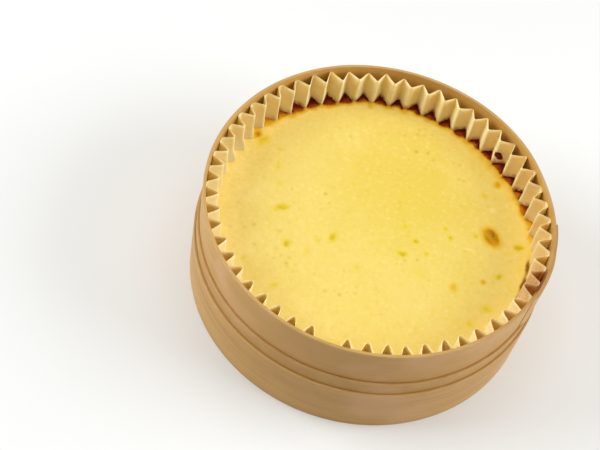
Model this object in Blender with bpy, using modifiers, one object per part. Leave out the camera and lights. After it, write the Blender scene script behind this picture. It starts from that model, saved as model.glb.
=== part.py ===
"""A jiggly cheesecake in its fluted paper case, inside the round bentwood mould it was baked in.

The origin is the centre of the mould's underside and +Z is up. Angles run anticlockwise seen
from above, from +X on the right. -Y is the front.
"""

import math

import bmesh
import bpy

# Mould: a tall inner hoop of thin veneer with two lower hoops wrapped round its foot
RIM_RADIUS = 0.0800
RIM_HEIGHT = 0.0600
INNER_VENEER = 0.0014
OUTER_VENEER = 0.0008
MIDDLE_HOOP_TOP = 0.0375
LOWER_HOOP_TOP = 0.0290
FLOOR_THICKNESS = 0.0030
VENEER_ROUNDING = 0.0003
HOOP_SIDES = 96

# Lap: the end of the inner veneer, wrapped once more over the outside of the rim
LAP_FIRST_SIDE = -7
LAP_LAST_SIDE = 2
LAP_TAPER_SIDES = 3
LAP_THICKNESS = 0.0012
LAP_THIN_END = 0.0003
LAP_BITE = 0.0007
LAP_DROP = 0.0002

# Paper case: zigzag pleats with straight flanks and sharp folds
PLEATS = 55
FOLDS = 2 * PLEATS
OUTER_FOLD = 0.0779
INNER_FOLD = 0.0730
OUTER_FOLD_WANDER = 0.0005
INNER_FOLD_WANDER = 0.0004
FOLD_TURN_WANDER = math.radians(0.35)
FIRST_FOLD_ANGLE = math.radians(5.0)
PITCH_DRIFT = math.radians(2.0)
PITCH_DRIFT_SIDE = math.radians(150.0)
PRESSED_PLEAT = 39
PRESSED_FOLD = 0.0764
PAPER_THICKNESS = 0.00035
PAPER_LEVEL = 0.00385
PAPER_WAIST = 0.0400
PAPER_TOP = 0.0574
PAPER_TOP_WANDER = 0.0007

# Cheesecake: nearly flat on top, with the batter baked up into the flutes at the back
CAKE_TOP = 0.0404
CAKE_TO_PAPER = 0.0008
CAKE_RING_RADII = (0.0250, 0.0450, 0.0600, 0.0675)
CAKE_ROUND_RADIUS = 0.0712
CAKE_DISH = 0.0006
CAKE_MENISCUS = 0.0004
CAKE_WAVE_HEIGHT = 0.00022
CAKE_WAVE_LENGTH = 0.0660
CAKE_CROSS_WAVE_LENGTH = 0.0780
CAKE_RIPPLE_LENGTH = 0.0420
CAKE_RIPPLE_SHARE = 0.6
CRUST_CLIMB = 0.0024
CRUST_WANDER = 0.15
CRUST_START = math.radians(-22.0)
CRUST_FULL = math.radians(24.0)
CRUST_FADE = math.radians(122.0)
CRUST_END = math.radians(158.0)

# Where each kind of unevenness starts in the same wandering sequence
TURN_PHASE = 0.7
EDGE_PHASE = 1.3
INNER_PHASE = 2.2
OUTER_PHASE = 4.1
CRUST_PHASE = 5.0

# Meshes hold 32-bit numbers, so pieces that touch keep this gap
GAP = 0.0003
SEAM_MERGE = 0.00001
BEVEL_FROM_ANGLE = math.radians(40.0)
SHARP_FROM_ANGLE = math.radians(30.0)

# Base colours, linear
VENEER_COLOUR = (0.62, 0.42, 0.21)
BAND_COLOUR = (0.52, 0.34, 0.16)
PAPER_COLOUR = (0.74, 0.55, 0.29)
CAKE_COLOUR = (0.90, 0.66, 0.15)


def clear_objects():
    """Removes whatever the open scene holds."""
    for item in list(bpy.data.objects):
        bpy.data.objects.remove(item, do_unlink=True)


def collection(name):
    """A new collection in the scene."""
    group = bpy.data.collections.new(name)
    bpy.context.scene.collection.children.link(group)
    return group


def principled(name, colour, roughness):
    """A material with one Principled BSDF."""
    material = bpy.data.materials.new(name)
    material.use_nodes = True
    shader = material.node_tree.nodes["Principled BSDF"]
    shader.inputs["Base Color"].default_value = (*colour, 1.0)
    shader.inputs["Roughness"].default_value = roughness
    shader.inputs["Metallic"].default_value = 0.0
    material.diffuse_color = (*colour, 1.0)
    return material


def evaluated_mesh(item):
    """The mesh of an object with its modifiers worked in."""
    bpy.context.view_layer.update()
    graph = bpy.context.evaluated_depsgraph_get()
    return bpy.data.meshes.new_from_object(item.evaluated_get(graph))


def apply_modifiers(item):
    """Puts the result of an object's modifiers into its mesh."""
    mesh = evaluated_mesh(item)
    item.modifiers.clear()
    old_mesh = item.data
    item.data = mesh
    bpy.data.meshes.remove(old_mesh)


def turned(name, profile, closed, sides, group, material):
    """A profile of (radius, height) points turned about Z.

    The profile runs down its outer side, top to bottom, so that its faces point outwards.
    """
    mesh = bpy.data.meshes.new(name)
    points = [(radius, 0.0, height) for radius, height in profile]
    edges = [(index, index + 1) for index in range(len(points) - 1)]
    if closed:
        edges.append((len(points) - 1, 0))
    mesh.from_pydata(points, edges, [])
    item = bpy.data.objects.new(name, mesh)
    group.objects.link(item)
    turn = item.modifiers.new("turn", "SCREW")
    turn.axis = "Z"
    turn.angle = 2.0 * math.pi
    turn.steps = sides
    turn.render_steps = sides
    turn.use_merge_vertices = True
    turn.merge_threshold = SEAM_MERGE
    apply_modifiers(item)
    item.data.materials.append(material)
    return item


def shade_round(item):
    """Smooth shading with the real edges kept sharp."""
    item.data.shade_smooth()
    item.data.set_sharp_from_angle(angle=SHARP_FROM_ANGLE)


def polar(radius, angle):
    """Plan position (x, y) of a point at this radius and angle."""
    return radius * math.cos(angle), radius * math.sin(angle)


def hoop(name, inner_radius, outer_radius, top, group, material):
    """A ring of bent veneer that stands on the ground, with a small flat on each of its edges."""
    profile = [(outer_radius, top), (outer_radius, 0.0), (inner_radius, 0.0), (inner_radius, top)]
    item = turned(name, profile, True, HOOP_SIDES, group, material)
    bevel = item.modifiers.new("rounding", "BEVEL")
    bevel.width = VENEER_ROUNDING
    bevel.segments = 1
    bevel.limit_method = "ANGLE"
    bevel.angle_limit = BEVEL_FROM_ANGLE
    apply_modifiers(item)
    shade_round(item)
    return item


def mould_floor(radius, group, material):
    """The flat disc inside the foot of the inner hoop."""
    profile = [(0.0, FLOOR_THICKNESS), (radius, FLOOR_THICKNESS), (radius, 0.0), (0.0, 0.0)]
    shade_round(turned("mould_floor", profile, False, HOOP_SIDES, group, material))


def lap_outline():
    """Points round the lap's plan: its outer arc, thinned towards one end, and an arc inside the hoop."""
    side_angle = 2.0 * math.pi / HOOP_SIDES
    sides = range(LAP_FIRST_SIDE, LAP_LAST_SIDE + 1)
    outline = []
    for side in sides:
        share = min((side - LAP_FIRST_SIDE) / LAP_TAPER_SIDES, 1.0)
        thickness = LAP_THIN_END + (LAP_THICKNESS - LAP_THIN_END) * share
        outline.append(polar(RIM_RADIUS + thickness, side * side_angle))
    for side in reversed(sides):
        outline.append(polar(RIM_RADIUS - LAP_BITE, side * side_angle))
    return outline


def lap_plate(group):
    """The lapped end of the veneer as a closed mesh, from the middle hoop's upper edge to the rim."""
    outline = lap_outline()
    bottom = MIDDLE_HOOP_TOP + GAP
    top = RIM_HEIGHT - LAP_DROP
    curve = bpy.data.curves.new("lap_outline", "CURVE")
    curve.dimensions = "2D"
    curve.fill_mode = "BOTH"
    curve.extrude = (top - bottom) / 2.0
    spline = curve.splines.new("POLY")
    spline.points.add(len(outline) - 1)
    for point, (x, y) in zip(spline.points, outline):
        point.co = (x, y, 0.0, 1.0)
    spline.use_cyclic_u = True
    flat = bpy.data.objects.new("lap_outline", curve)
    flat.location = (0.0, 0.0, (top + bottom) / 2.0)
    group.objects.link(flat)
    mesh = evaluated_mesh(flat)
    plate = bpy.data.objects.new("lap_plate", mesh)
    plate.matrix_world = flat.matrix_world
    plate.hide_render = True
    plate.display_type = "WIRE"
    group.objects.link(plate)
    bpy.data.objects.remove(flat, do_unlink=True)
    work = bmesh.new()
    work.from_mesh(mesh)
    bmesh.ops.remove_doubles(work, verts=work.verts, dist=SEAM_MERGE)
    bmesh.ops.recalc_face_normals(work, faces=work.faces)
    work.to_mesh(mesh)
    work.free()
    return plate


def join_lap(item, group):
    """Unites the lapped end with the inner hoop."""
    union = item.modifiers.new("lap", "BOOLEAN")
    union.operation = "UNION"
    union.solver = "EXACT"
    union.object = lap_plate(group)
    apply_modifiers(item)
    shade_round(item)


def uneven(index, phase):
    """A repeatable value between -1 and 1 that wanders from one fold to the next: two sines added."""
    return 0.6 * math.sin(2.1 * index + phase) + 0.4 * math.sin(5.3 * index + 2.0 * phase)


def smooth_step(value, low, high):
    """0 below low and 1 above high, with a soft ramp between."""
    share = min(max((value - low) / (high - low), 0.0), 1.0)
    return share * share * (3.0 - 2.0 * share)


def fold(index):
    """Plan position (x, y) of a fold: even folds point inwards and odd ones outwards."""
    number = index % FOLDS
    even_turn = FIRST_FOLD_ANGLE + 2.0 * math.pi * index / FOLDS
    drift = PITCH_DRIFT * (1.0 + math.cos(even_turn - PITCH_DRIFT_SIDE))
    angle = even_turn + drift + FOLD_TURN_WANDER * uneven(number, TURN_PHASE)
    if number == 2 * PRESSED_PLEAT:
        radius = PRESSED_FOLD
    elif number % 2 == 0:
        radius = INNER_FOLD + INNER_FOLD_WANDER * uneven(number, INNER_PHASE)
    else:
        radius = OUTER_FOLD - OUTER_FOLD_WANDER * abs(uneven(number, OUTER_PHASE))
    return polar(radius, angle)


def column_of(vertex, columns):
    """Number of the column of vertices, counted round from +X, that a turned piece's vertex is in."""
    return round(math.atan2(vertex.co.y, vertex.co.x) / (2.0 * math.pi) * columns) % columns


def pleat_point(column, columns):
    """Angle and radius where a column meets the pleats: on a fold, or part of the way along a flank."""
    position = column * FOLDS / columns
    index = math.floor(position)
    share = position - index
    first_x, first_y = fold(index)
    next_x, next_y = fold(index + 1)
    x = first_x + (next_x - first_x) * share
    y = first_y + (next_y - first_y) * share
    return math.atan2(y, x), math.hypot(x, y)


def outward_share(column, columns):
    """0 at an inward fold and 1 at an outward one."""
    position = (column * FOLDS / columns) % 2.0
    return 1.0 - abs(position - 1.0)


def flute(item, columns, round_radius, edge_radius, inset):
    """Folds the edge of a turned piece into the pleats and leaves its middle round."""
    for vertex in item.data.vertices:
        radius = math.hypot(vertex.co.x, vertex.co.y)
        if radius < SEAM_MERGE:
            continue
        angle, pleat_radius = pleat_point(column_of(vertex, columns), columns)
        share = max(0.0, (radius - round_radius) / (edge_radius - round_radius))
        radius += share * (pleat_radius - inset - edge_radius)
        vertex.co.x, vertex.co.y = polar(radius, angle)


def paper_case(group, material):
    """The pleated wall and the flat bottom as one open surface, thickened."""
    profile = [
        (OUTER_FOLD, PAPER_TOP),
        (OUTER_FOLD, PAPER_WAIST),
        (OUTER_FOLD, PAPER_LEVEL),
        (CAKE_ROUND_RADIUS, PAPER_LEVEL),
        (0.0, PAPER_LEVEL),
    ]
    item = turned("paper_case", profile, False, FOLDS, group, material)
    for vertex in item.data.vertices:
        if vertex.co.z > PAPER_TOP - SEAM_MERGE:
            vertex.co.z += PAPER_TOP_WANDER * uneven(column_of(vertex, FOLDS), EDGE_PHASE)
    flute(item, FOLDS, CAKE_ROUND_RADIUS, OUTER_FOLD, 0.0)
    skin = item.modifiers.new("paper", "SOLIDIFY")
    skin.thickness = PAPER_THICKNESS
    skin.offset = 0.0
    skin.use_even_offset = True
    apply_modifiers(item)


def crust_strength(angle):
    """How far the batter baked on at this side: full round the back, none at the front and left."""
    turn = (angle - CRUST_START) % (2.0 * math.pi) + CRUST_START
    rise = smooth_step(turn, CRUST_START, CRUST_FULL)
    fall = 1.0 - smooth_step(turn, CRUST_FADE, CRUST_END)
    return rise * fall


def crust_height(angle, edge_share, column, columns):
    """Height of the crust over the cake: it climbs towards the outward folds at the very edge."""
    in_flute = edge_share ** 2 * outward_share(column, columns)
    lump = 1.0 - CRUST_WANDER + CRUST_WANDER * uneven(column, CRUST_PHASE)
    return CRUST_CLIMB * crust_strength(angle) * in_flute * lump


def cake_relief(x, y):
    """Height of the cake's skin over its nominal level: a shallow dish with soft waves."""
    full_turn = 2.0 * math.pi
    share = min(math.hypot(x, y) / CAKE_ROUND_RADIUS, 1.0)
    dish = CAKE_DISH * (share ** 2 - 1.0)
    swell = math.sin(full_turn * x / CAKE_WAVE_LENGTH) * math.cos(full_turn * y / CAKE_CROSS_WAVE_LENGTH)
    ripple = CAKE_RIPPLE_SHARE * math.sin(full_turn * (x - y) / CAKE_RIPPLE_LENGTH)
    return dish + CAKE_WAVE_HEIGHT * (swell + ripple) * (1.0 - share ** 4)


def cheesecake(group, material):
    """A turned slab whose edge fills the pleats, raised where the crust climbs the flutes."""
    columns = 2 * FOLDS
    bottom = PAPER_LEVEL + PAPER_THICKNESS + GAP
    edge = OUTER_FOLD - CAKE_TO_PAPER
    fluted_width = edge - CAKE_ROUND_RADIUS
    half_way = CAKE_ROUND_RADIUS + fluted_width / 2.0
    top_radii = (0.0, *CAKE_RING_RADII, CAKE_ROUND_RADIUS, half_way, edge)
    profile = [(radius, CAKE_TOP) for radius in top_radii]
    profile += [(edge, bottom), (CAKE_ROUND_RADIUS, bottom), (0.0, bottom)]
    item = turned("cheesecake", profile, False, columns, group, material)
    for vertex in item.data.vertices:
        if vertex.co.z < CAKE_TOP - SEAM_MERGE:
            continue
        radius = math.hypot(vertex.co.x, vertex.co.y)
        column = column_of(vertex, columns)
        angle, _ = pleat_point(column, columns)
        edge_share = max(0.0, (radius - CAKE_ROUND_RADIUS) / fluted_width)
        vertex.co.z += CAKE_MENISCUS * edge_share
        vertex.co.z += crust_height(angle, edge_share, column, columns)
        vertex.co.z += cake_relief(*polar(radius, angle))
    flute(item, columns, CAKE_ROUND_RADIUS, edge, CAKE_TO_PAPER)
    shade_round(item)


def build():
    """Builds the mould from the outside in, then the paper case and the cake."""
    clear_objects()
    group = collection("jiggly_cheesecake")
    cutters = collection("cutters")
    veneer = principled("bent_veneer", VENEER_COLOUR, 0.55)
    band = principled("band_veneer", BAND_COLOUR, 0.58)
    paper = principled("fluted_paper", PAPER_COLOUR, 0.70)
    custard = principled("baked_cheese", CAKE_COLOUR, 0.40)
    inner_radius = RIM_RADIUS - INNER_VENEER
    middle_radius = RIM_RADIUS + GAP
    lower_radius = middle_radius + OUTER_VENEER + GAP
    hoop("lower_hoop", lower_radius, lower_radius + OUTER_VENEER, LOWER_HOOP_TOP, group, band)
    hoop("middle_hoop", middle_radius, middle_radius + OUTER_VENEER, MIDDLE_HOOP_TOP, group, band)
    join_lap(hoop("inner_hoop", inner_radius, RIM_RADIUS, RIM_HEIGHT, group, veneer), cutters)
    mould_floor(inner_radius - GAP, group, veneer)
    paper_case(group, paper)
    cheesecake(group, custard)


build()
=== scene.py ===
"""The looks of a jiggly cheesecake in its fluted paper case and round bentwood mould.

Each piece is a surface worked out on a grid of two parameters, or a profile carried round the
mould, and is dressed with a material made of nodes. Lengths are metres, +Z is up and -Y is the
front. Angles run anticlockwise seen from above, from +X on the right.
"""

import itertools
import logging
import math
from dataclasses import dataclass, field
from enum import Enum

import bmesh
import bpy
import numpy as np
from mathutils import Matrix, Vector


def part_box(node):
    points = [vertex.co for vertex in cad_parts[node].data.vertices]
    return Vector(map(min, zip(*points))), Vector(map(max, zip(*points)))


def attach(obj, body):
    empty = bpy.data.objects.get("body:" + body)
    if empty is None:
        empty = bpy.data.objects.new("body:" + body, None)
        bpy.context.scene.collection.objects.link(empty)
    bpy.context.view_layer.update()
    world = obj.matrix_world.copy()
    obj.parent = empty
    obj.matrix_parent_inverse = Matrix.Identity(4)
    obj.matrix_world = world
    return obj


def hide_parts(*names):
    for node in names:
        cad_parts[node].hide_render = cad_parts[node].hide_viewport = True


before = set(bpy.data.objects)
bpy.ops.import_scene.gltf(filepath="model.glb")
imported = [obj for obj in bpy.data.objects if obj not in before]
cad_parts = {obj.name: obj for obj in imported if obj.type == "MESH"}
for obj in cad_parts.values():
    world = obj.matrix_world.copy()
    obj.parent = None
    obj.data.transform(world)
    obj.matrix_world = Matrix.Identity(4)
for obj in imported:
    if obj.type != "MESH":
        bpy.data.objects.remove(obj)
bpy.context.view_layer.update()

MM = 0.001
FULL_TURN = 2.0 * math.pi
FULL_DEGREES = 360.0
UNEVEN_SINES = ((0.6, 2.1, 1.0), (0.4, 5.3, 2.0))
BODY = "root"
WELD_DISTANCE = 0.002 * MM
UV_NAME = "surface"
MIX_SHARE, MIX_BELOW, MIX_ABOVE, MIX_RESULT = 0, 6, 7, 2

Array = np.ndarray
Triple = tuple[float, float, float]
Colour = Triple
Inputs = dict[str | int, object]
Socket = bpy.types.NodeSocket
log = logging.getLogger("cheesecake")


def linear(red: int, green: int, blue: int) -> Colour:
    """Linear shares of an 8-bit screen colour: a straight foot, then a power of 2.4.

    Args:
        red: Red from 0 to 255.
        green: Green from 0 to 255.
        blue: Blue from 0 to 255.

    Returns:
        The three shares.
    """
    shares = (red / 255.0, green / 255.0, blue / 255.0)
    return tuple(s / 12.92 if s <= 0.04045 else ((s + 0.055) / 1.055) ** 2.4 for s in shares)


def uneven(number: Array, phase: float) -> Array:
    """A repeatable wander between -1 and 1 along a count: two sines added."""
    return sum(size * np.sin(step * number + times * phase) for size, step, times in UNEVEN_SINES)


def round_plan(radius: Array | float, angle: Array | float) -> Array:
    """Plan points (x, y) at these radii and angles."""
    return np.stack([radius * np.cos(angle), radius * np.sin(angle)], axis=-1)


def lifted(plan: Array, height: Array | float = 0.0) -> Array:
    """Plan points raised to a height."""
    return np.concatenate([plan, np.broadcast_to(height, plan.shape[:-1])[..., None]], axis=-1)


def from_axis(points: Array) -> Array:
    """How far points stand from the mould's axis."""
    return np.hypot(points[..., 0], points[..., 1])


def lengths_along(points: Array) -> Array:
    """Length of a line of points, from its start to each of them: the steps added up."""
    return np.concatenate([[0.0], np.cumsum(np.hypot(*np.diff(points, axis=0).T))])


@dataclass(frozen=True)
class Ramp:
    """A soft ramp: start up to low, end from high on, a cubic between. Low may be above high."""

    low: float
    high: float
    start: float = 0.0
    end: float = 1.0

    def at(self, value: Array) -> Array:
        """The ramp's result for each value."""
        share = np.clip((value - self.low) / (self.high - self.low), 0.0, 1.0)
        return self.start + (self.end - self.start) * share * share * (3.0 - 2.0 * share)


@dataclass(frozen=True)
class Side:
    """A stretch of a ring round one angle: a bell curve, flatter for a higher power. In degrees."""

    middle: float
    width: float
    size: float = 1.0
    power: int = 2

    def away(self, angle: Array) -> Array:
        """How far round angles lie from the middle, in widths, below zero on the clockwise side."""
        turn = (angle - math.radians(self.middle) + math.pi) % FULL_TURN - math.pi
        return turn / math.radians(self.width)

    def at(self, angle: Array) -> Array:
        """The stretch's strength at each angle."""
        return self.size * np.exp(-(self.away(angle) ** self.power))


@dataclass(frozen=True)
class Patch:
    """A soft oval patch: a bell curve along two axes round its middle."""

    x: float
    y: float
    width: float
    depth: float
    strength: float = 1.0

    def at(self, x: Array, y: Array) -> Array:
        """The patch's strength at points given by their two coordinates."""
        across, up = (x - self.x) / self.width, (y - self.y) / self.depth
        return self.strength * np.exp(-(across**2) - up**2)


@dataclass(frozen=True)
class RandomField:
    """Smooth random values through space, the same on every run, with finer layers on coarser.

    Random values stand at the corners of a cubic lattice. The value at a point is the mean of
    its cell's eight corners, each weighted by a soft step of the distance along each axis. Each
    layer has half the cell and half the weight of the one before.
    """

    seed: int
    cell: float
    layers: int = 3
    layer_shift: float = 7.3
    table_length: int = 16384
    corner_keys: tuple[int, ...] = (73856093, 19349663, 83492791)

    def layer(self, points: Array, cell: float) -> Array:
        """One layer's values between -1 and 1.

        Args:
            points: Points in space, shape (..., 3).
            cell: Side of a lattice cell.

        Returns:
            One value for each point.
        """
        table = np.random.default_rng(self.seed).uniform(-1.0, 1.0, self.table_length)
        cells = points / cell
        base = np.floor(cells).astype(np.int64)
        share = cells - base
        share = share * share * (3.0 - 2.0 * share)
        total = np.zeros(points.shape[:-1])
        for corner in itertools.product((0, 1), repeat=3):
            key = np.bitwise_xor.reduce((base + np.array(corner)) * np.array(self.corner_keys), axis=-1)
            weight = np.where(np.array(corner) == 1, share, 1.0 - share).prod(axis=-1)
            total += weight * table[key % self.table_length]
        return total

    def at(self, points: Array) -> Array:
        """The layers' weighted mean at each point."""
        weights = [0.5**n for n in range(self.layers)]
        shifts = [self.layer_shift * self.cell * n for n in range(self.layers)]
        parts = [self.layer(points + shift, self.cell * w) * w for shift, w in zip(shifts, weights)]
        return sum(parts) / sum(weights)


@dataclass(frozen=True)
class RoundWander:
    """An offset that wanders round a ring and meets itself: sines of whole waves, less a dent."""

    size: float
    waves: tuple[int, ...]
    phase: float
    dent: Side = Side(0.0, 1.0, 0.0)

    def at(self, angle: Array) -> Array:
        """The offset at each angle: later sines are weaker, as one over their place in the row."""
        order = np.arange(1, len(self.waves) + 1)
        turns = np.asarray(angle)[..., None] * np.array(self.waves) + self.phase * order
        wander = self.size * (np.sin(turns) / order).sum(axis=-1) / (1.0 / order).sum()
        return wander - self.dent.at(np.asarray(angle))


class GridMesh:
    """Quads gathered from grids of points, with a UV map in metres and named point values."""

    def __init__(self, name: str) -> None:
        """Starts an empty piece with this name."""
        self.name = name
        self.points: list[Array] = []
        self.quads: list[Array] = []
        self.uvs: list[Array] = []
        self.values: list[dict[str, Array]] = []
        self.count = 0

    def add(
        self,
        points: Array,
        uv: Array,
        values: dict[str, Array] | None = None,
        ring: bool = False,
        tube: bool = False,
    ) -> None:
        """Adds a grid whose faces point along columns cross rows.

        Args:
            points: Shape (rows, columns, 3).
            uv: Shape (rows, columns, 2), one more row for a tube.
            values: Point values by name, each of shape (rows, columns).
            ring: The last column repeats the first, and takes the first one's points.
            tube: The last row is joined to the first.
        """
        kept = slice(None, -1) if ring else slice(None)
        points = points[:, kept]
        rows, columns = points.shape[:2]
        number = np.arange(rows * columns).reshape(rows, columns) + self.count
        number = np.pad(number, ((0, int(tube)), (0, int(ring))), mode="wrap")
        self.points.append(points.reshape(-1, 3))
        self.quads.append(self.corners(number).reshape(-1, 4))
        self.uvs.append(self.corners(uv).reshape(-1, 2))
        self.values.append({name: value[:, kept].ravel() for name, value in (values or {}).items()})
        self.count += rows * columns

    @staticmethod
    def corners(grid: Array) -> Array:
        """The four corner entries of each of a grid's quads, anticlockwise."""
        return np.stack([grid[:-1, :-1], grid[:-1, 1:], grid[1:, 1:], grid[1:, :-1]], axis=2)

    def finish(self, material: bpy.types.Material, sharp_from: float = 60.0) -> bpy.types.Object:
        """Makes the object: welds seams and poles, shades it smooth and gives it its material.

        Args:
            material: The piece's finish.
            sharp_from: Angle in degrees from which an edge stays sharp.

        Returns:
            The object, at the origin, with its place in its mesh.
        """
        mesh = bpy.data.meshes.new(self.name)
        quads = np.concatenate(self.quads)
        mesh.vertices.add(self.count)
        mesh.vertices.foreach_set("co", np.concatenate(self.points).astype(np.float32).ravel())
        mesh.loops.add(quads.size)
        mesh.loops.foreach_set("vertex_index", quads.astype(np.int32).ravel())
        mesh.polygons.add(len(quads))
        mesh.polygons.foreach_set("loop_start", np.arange(0, quads.size, 4, dtype=np.int32))
        layer = mesh.uv_layers.new(name=UV_NAME)
        layer.data.foreach_set("uv", np.concatenate(self.uvs).astype(np.float32).ravel())
        for name in sorted({name for group in self.values for name in group}):
            groups = zip(self.values, self.points)
            parts = [group.get(name, np.zeros(len(part))) for group, part in groups]
            attribute = mesh.attributes.new(name, "FLOAT", "POINT")
            attribute.data.foreach_set("value", np.concatenate(parts).astype(np.float32))
        mesh.update(calc_edges=True)
        work = bmesh.new()
        work.from_mesh(mesh)
        bmesh.ops.remove_doubles(work, verts=work.verts, dist=WELD_DISTANCE)
        work.to_mesh(mesh)
        work.free()
        mesh.validate()
        mesh.shade_smooth()
        mesh.set_sharp_from_angle(angle=math.radians(sharp_from))
        mesh.materials.append(material)
        piece = bpy.data.objects.new(self.name, mesh)
        bpy.context.scene.collection.objects.link(piece)
        return piece


@dataclass(frozen=True)
class Grain:
    """How coarse a noise is: its length, or its lengths along three axes, and its finer layers."""

    length: float | Triple
    detail: float = 2.0
    rough: float = 0.5


class Graph:
    """A material's nodes, joined by short calls. A value may be a number, a colour or a socket."""

    def __init__(self, name: str) -> None:
        """Starts a material with its Principled shader."""
        self.material = bpy.data.materials.new(name)
        self.material.use_nodes = True
        self.tree = self.material.node_tree
        self.shader = self.tree.nodes["Principled BSDF"]

    def feed(self, socket: Socket, value: object) -> None:
        """Links a socket into another, or sets the other's own value.

        Args:
            socket: The input that is fed.
            value: A socket, a number, a vector or a colour.
        """
        if isinstance(value, Socket):
            self.tree.links.new(value, socket)
        elif socket.type == "RGBA":
            socket.default_value = (*value, 1.0)
        else:
            socket.default_value = value

    def made(self, kind: str, output: str | int, inputs: Inputs, **settings: object) -> Socket:
        """Adds a node and gives one of its outputs.

        Args:
            kind: What node it is.
            output: Name or number of the output.
            inputs: What each input is fed, by name or number.
            settings: The node's properties.

        Returns:
            The output.
        """
        node = self.tree.nodes.new("ShaderNode" + kind)
        for name, value in settings.items():
            setattr(node, name, value)
        for name, value in inputs.items():
            self.feed(node.inputs[name], value)
        return node.outputs[output]

    def dress(self, **values: object) -> bpy.types.Material:
        """Feeds the shader's inputs, named with underscores for spaces, and gives the material."""
        for name, value in values.items():
            self.feed(self.shader.inputs[name.replace("_", " ").title().replace("Ior", "IOR")], value)
        return self.material

    def place(self) -> Socket:
        """The point's own place on the object, in metres."""
        return self.made("TexCoord", "Object", {})

    def surface(self) -> Socket:
        """The piece's UV map, in metres along its surface."""
        return self.made("UVMap", "UV", {}, uv_map=UV_NAME)

    def value(self, name: str) -> Socket:
        """A named point value of the mesh."""
        return self.made("Attribute", "Fac", {}, attribute_name=name)

    def plus(self, total: object, *others: object) -> Socket:
        """All the values added, one after another."""
        for value in others:
            total = self.made("Math", "Value", {0: total, 1: value}, operation="ADD")
        return total

    def times(self, first: object, second: object) -> Socket:
        """Two values multiplied."""
        return self.made("Math", "Value", {0: first, 1: second}, operation="MULTIPLY")

    def noise(self, vector: Socket, grain: Grain) -> Socket:
        """Soft noise around 0.5.

        Args:
            vector: Where it is read.
            grain: How coarse it is, in the vector's unit.

        Returns:
            The noise's value.
        """
        length = grain.length
        if isinstance(length, tuple):
            scale = [1.0 / side for side in length]
            vector = self.made("Mapping", "Vector", {"Vector": vector, "Scale": scale})
            length = 1.0
        inputs = {"Vector": vector, "Scale": 1.0 / length, "Detail": grain.detail, "Roughness": grain.rough}
        return self.made("TexNoise", "Fac", inputs)

    def cells(self, vector: Socket, length: float) -> tuple[Socket, Socket]:
        """Scattered round cells.

        Args:
            vector: Where they are read.
            length: Mean distance between cells.

        Returns:
            The distance from the nearest cell's middle, and that cell's own random share.
        """
        inputs = {"Vector": vector, "Scale": 1.0 / length}
        colour = self.made("TexVoronoi", "Color", inputs)
        distance = self.made("TexVoronoi", "Distance", inputs)
        return distance, self.made("SeparateColor", "Red", {"Color": colour})

    def spread(self, value: Socket, ramp: Ramp) -> Socket:
        """A value led through a soft ramp."""
        inputs = {"From Min": ramp.low, "From Max": ramp.high, "To Min": ramp.start, "To Max": ramp.end}
        return self.made("MapRange", "Result", {"Value": value, **inputs}, interpolation_type="SMOOTHSTEP")

    def layered(self, colour: object, *layers: tuple[Socket, object]) -> Socket:
        """Colours laid one over another.

        Args:
            colour: The lowest colour.
            layers: How much of each next colour shows, and that colour.

        Returns:
            The mixed colour.
        """
        for share, above in layers:
            inputs = {MIX_SHARE: share, MIX_BELOW: colour, MIX_ABOVE: above}
            colour = self.made("Mix", MIX_RESULT, inputs, data_type="RGBA", clamp_factor=True)
        return colour

    def ramp(self, value: Socket, stops: tuple[tuple[float, Colour], ...]) -> Socket:
        """A colour read off a row of stops.

        Args:
            value: Where along the row, from 0 to 1.
            stops: Places and their colours, in order.

        Returns:
            The colour.
        """
        result = self.made("ValToRGB", "Color", {"Fac": value})
        elements = result.node.color_ramp.elements
        elements[0].position, elements[1].position = stops[0][0], stops[-1][0]
        for place, _ in stops[1:-1]:
            elements.new(place)
        for element, (_, colour) in zip(elements, stops):
            element.color = (*colour, 1.0)
        return result

    def bump(self, height: Socket, depth: float, **under: Socket) -> Socket:
        """A fine relief.

        Args:
            height: Its height, from 0 to 1.
            depth: Real height of 1, in metres.
            under: A relief that it lies on, as Normal.

        Returns:
            The surface's normal.
        """
        return self.made("Bump", "Normal", {"Height": height, "Distance": depth, **under})


@dataclass(frozen=True)
class Glow:
    """Light that enters a surface: its share, how deep it goes, and how far each colour of it."""

    share: float
    depth: float
    reach: Triple


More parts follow.
